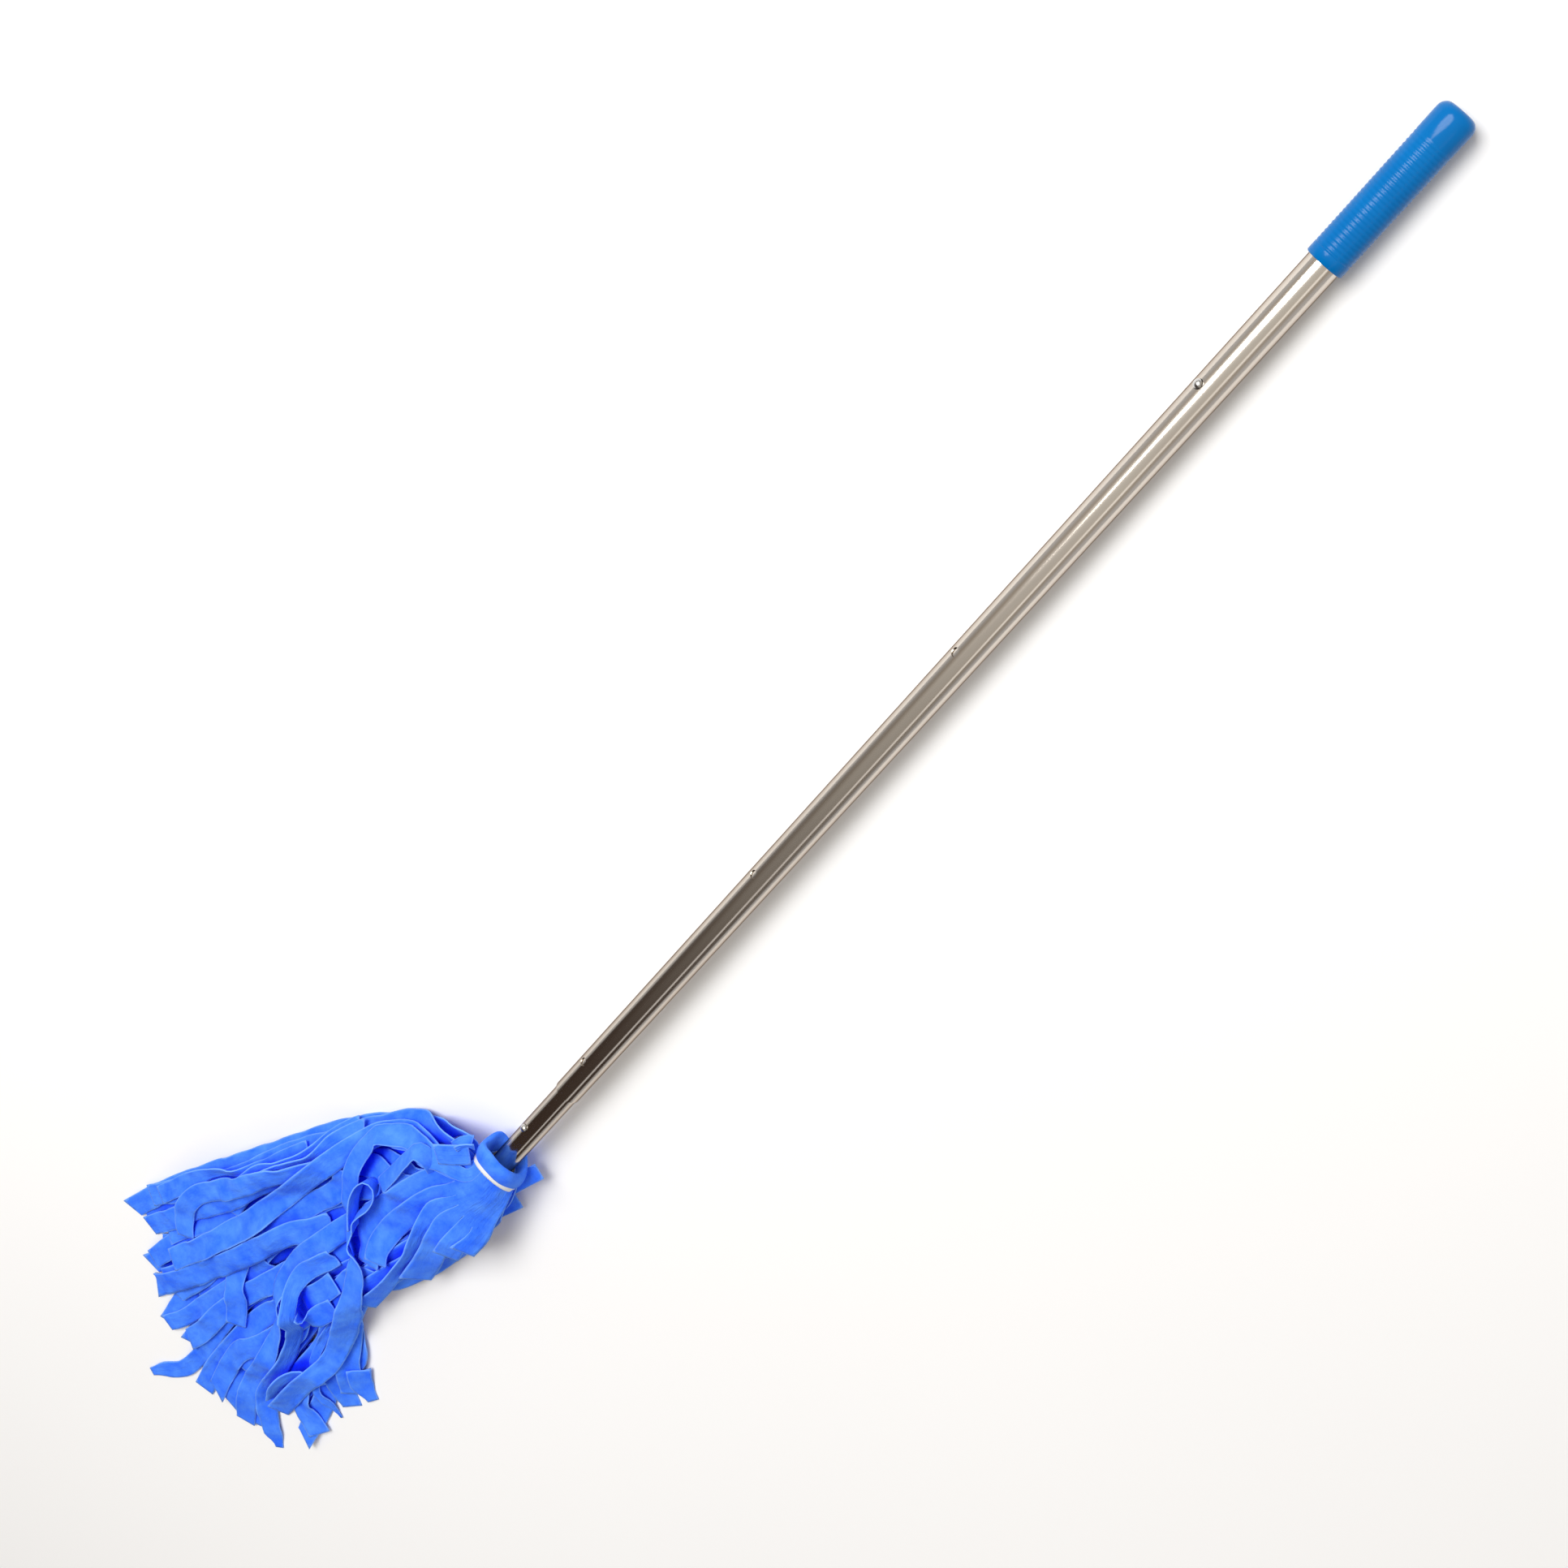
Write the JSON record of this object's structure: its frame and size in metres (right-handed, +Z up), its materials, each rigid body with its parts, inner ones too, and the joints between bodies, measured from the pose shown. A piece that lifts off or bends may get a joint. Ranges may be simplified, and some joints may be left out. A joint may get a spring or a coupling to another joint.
{
  "type": "chamois mop",
  "caption": "Wet mop with a telescopic chromed tube handle, a ribbed grip and a head of slit chamois cloth strips bound round a plastic core, lying with its strips fanned out.",
  "frame": {"origin": "middle of the underside of the part's box, on the floor that the mop lies on", "axes": "+X along the handle towards the grip, +Y to the side that most strips fan out to, +Z up from the floor"},
  "size_m": [1.5632, 0.2982, 0.0556],
  "materials": {
    "chrome_tube": "bright chrome plate with faint marks along the tube",
    "grip_vinyl": "glossy dipped vinyl, blue, with ring ribs",
    "chamois_cloth": "napped synthetic chamois, blue, matt",
    "white_tape": "woven white binding tape",
    "moulded_plastic": "plain moulded plastic, dark grey",
    "button_steel": "pressed steel, worn bright",
    "spring_steel": "flat spring steel"
  },
  "bodies": {
    "outer_handle": {"grip": "grip_vinyl", "outer_tube": "chrome_tube", "tube_end_plug": "moulded_plastic"},
    "inner_handle": {"inner_tube": "chrome_tube", "guide_cap": "moulded_plastic", "upper_leaf_spring": "spring_steel", "head_core": "moulded_plastic", "lower_leaf_spring": "spring_steel", "collar": "chamois_cloth", "binding_tape": "white_tape", "fringe_sheet_1": "chamois_cloth", "fringe_sheet_2": "chamois_cloth", "fringe_sheet_3": "chamois_cloth", "fringe_sheet_4": "chamois_cloth", "fringe_sheet_5": "chamois_cloth", "fringe_sheet_6": "chamois_cloth", "fringe_sheet_7": "chamois_cloth", "fringe_sheet_8": "chamois_cloth"},
    "upper_button": {"upper_lock_button": "button_steel"},
    "lower_button": {"lower_lock_button": "button_steel"}
  },
  "joints": [
    {"name": "telescope", "type": "slide", "parent": "outer_handle", "child": "inner_handle", "axis": [-0.9998, 0, 0.0185], "range_m": [0, 0.6858], "deforming": ["upper_lock_button"]},
    {"name": "upper_button_press", "type": "slide", "parent": "inner_handle", "child": "upper_button", "axis": [0.0138, 0.6691, 0.743], "range_m": [-0.0038, 0], "stiffness_N_per_m": 2500, "springref_m": 0.002, "deforming": ["upper_leaf_spring"]},
    {"name": "lower_button_press", "type": "slide", "parent": "inner_handle", "child": "lower_button", "axis": [0.0138, 0.6691, 0.743], "range_m": [-0.0038, 0], "stiffness_N_per_m": 2500, "springref_m": 0.002, "deforming": ["lower_leaf_spring"]}
  ]
}
